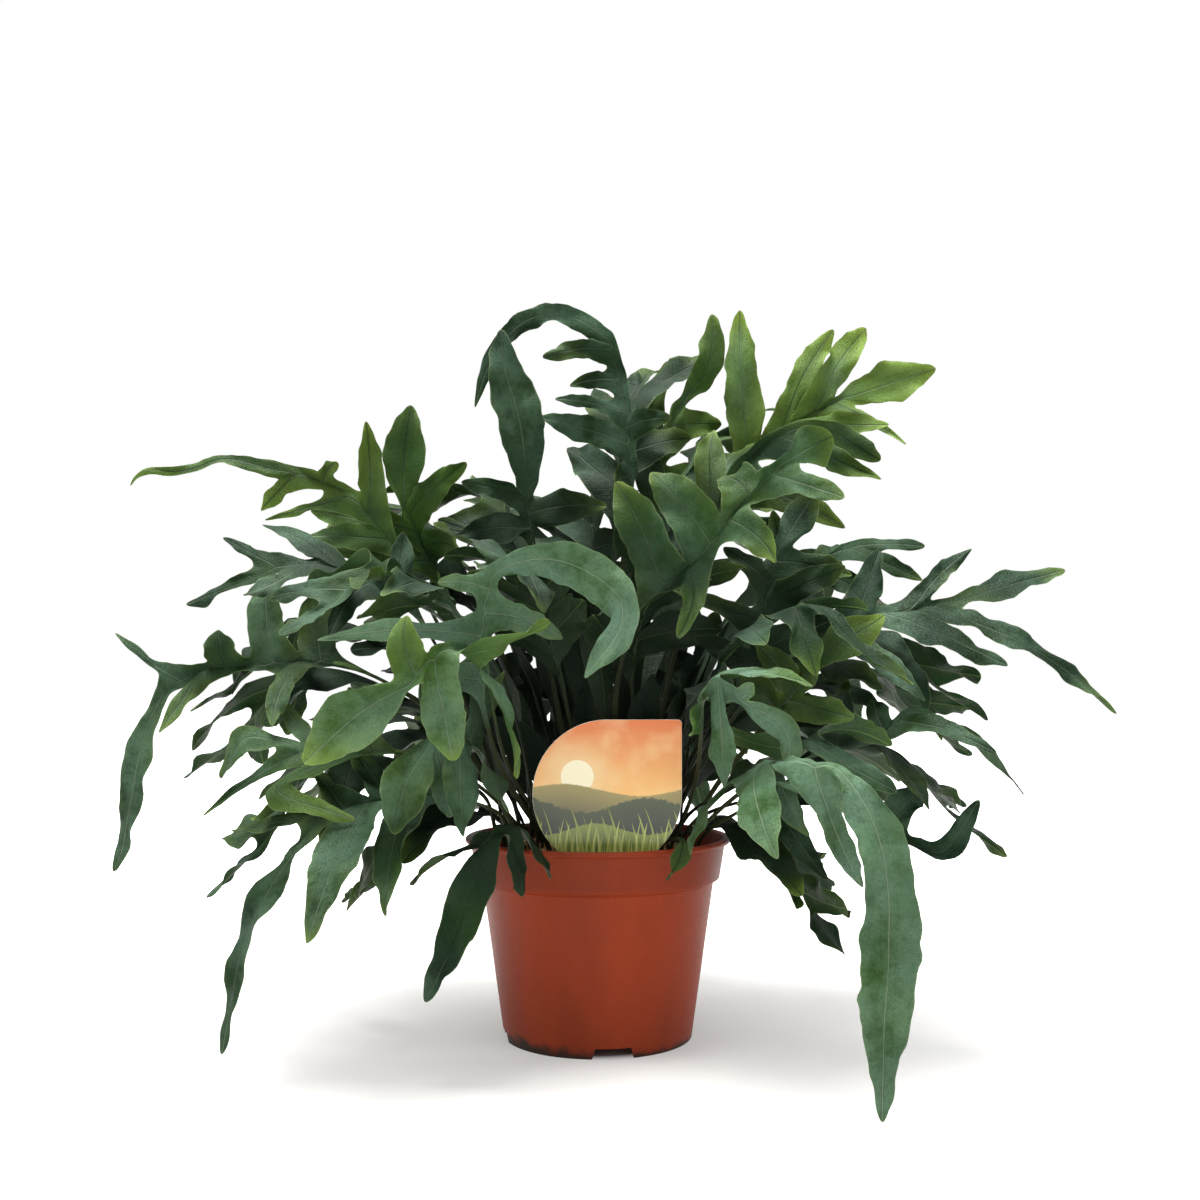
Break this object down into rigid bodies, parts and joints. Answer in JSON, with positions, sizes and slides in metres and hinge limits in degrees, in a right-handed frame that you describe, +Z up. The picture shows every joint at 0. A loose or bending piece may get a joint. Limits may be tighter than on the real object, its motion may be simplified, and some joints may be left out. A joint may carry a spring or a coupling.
{
  "type": "potted blue star fern",
  "caption": "Blue-green fern with deeply lobed, waved fronds on thin stalks, in a round terracotta-coloured plastic nursery pot with a stick-in plant card.",
  "frame": {"origin": "middle of the pot's base, on the surface that it stands on", "axes": "+Z up along the pot's axis; -Y towards the side with the plant card; +X to the right seen from that side"},
  "size_m": [0.608, 0.4781, 0.4772],
  "materials": {
    "frond": "glaucous blue-green leaf with a dull bloom, greener on young lobes",
    "pot": "thin injection-moulded plastic, terracotta colour, slight sheen, soil stains at the foot",
    "soil": "dark loose potting soil",
    "rhizome": "golden-brown scaly creeping stem",
    "card": null,
    "shoot": "yellow-green young shoot"
  },
  "bodies": {
    "root": {"frond_big_hanging": "frond", "frond_bright_left": "frond", "frond_card_left": "frond", "frond_central_fold": "frond", "frond_crown_centre": "frond", "frond_crown_right": "frond", "frond_fill_01": "frond", "frond_fill_02": "frond", "frond_fill_03": "frond", "frond_fill_04": "frond", "frond_fill_05": "frond", "frond_fill_06": "frond", "frond_fill_07": "frond", "frond_fill_08": "frond", "frond_fill_09": "frond", "frond_fill_10": "frond", "frond_fill_11": "frond", "frond_fill_12": "frond", "frond_fill_13": "frond", "frond_fill_14": "frond", "frond_fill_15": "frond", "frond_fill_16": "frond", "frond_fill_17": "frond", "frond_fill_18": "frond", "frond_fill_19": "frond", "frond_fill_20": "frond", "frond_fill_21": "frond", "frond_fill_22": "frond", "frond_fill_23": "frond", "frond_fill_24": "frond", "frond_fill_25": "frond", "frond_fill_26": "frond", "frond_fill_27": "frond", "frond_front_centre": "frond", "frond_inner_centre": "frond", "frond_inner_left": "frond", "frond_inner_right": "frond", "frond_left_dark": "frond", "frond_left_green": "frond", "frond_left_low": "frond", "frond_left_ribbon": "frond", "frond_long_arch": "frond", "frond_over_card": "frond", "frond_over_left": "frond", "frond_over_pot": "frond", "frond_plume": "frond", "frond_right_arch": "frond", "frond_right_cup": "frond", "frond_right_long": "frond", "frond_right_low": "frond", "frond_right_mid": "frond", "frond_right_thin": "frond", "frond_right_upright": "frond", "frond_tall_left": "frond", "frond_yellow_tips": "frond", "plant_card": "card", "pot": "pot", "rhizome": "rhizome", "soil": "soil", "young_shoot": "shoot"}
  },
  "joints": []
}
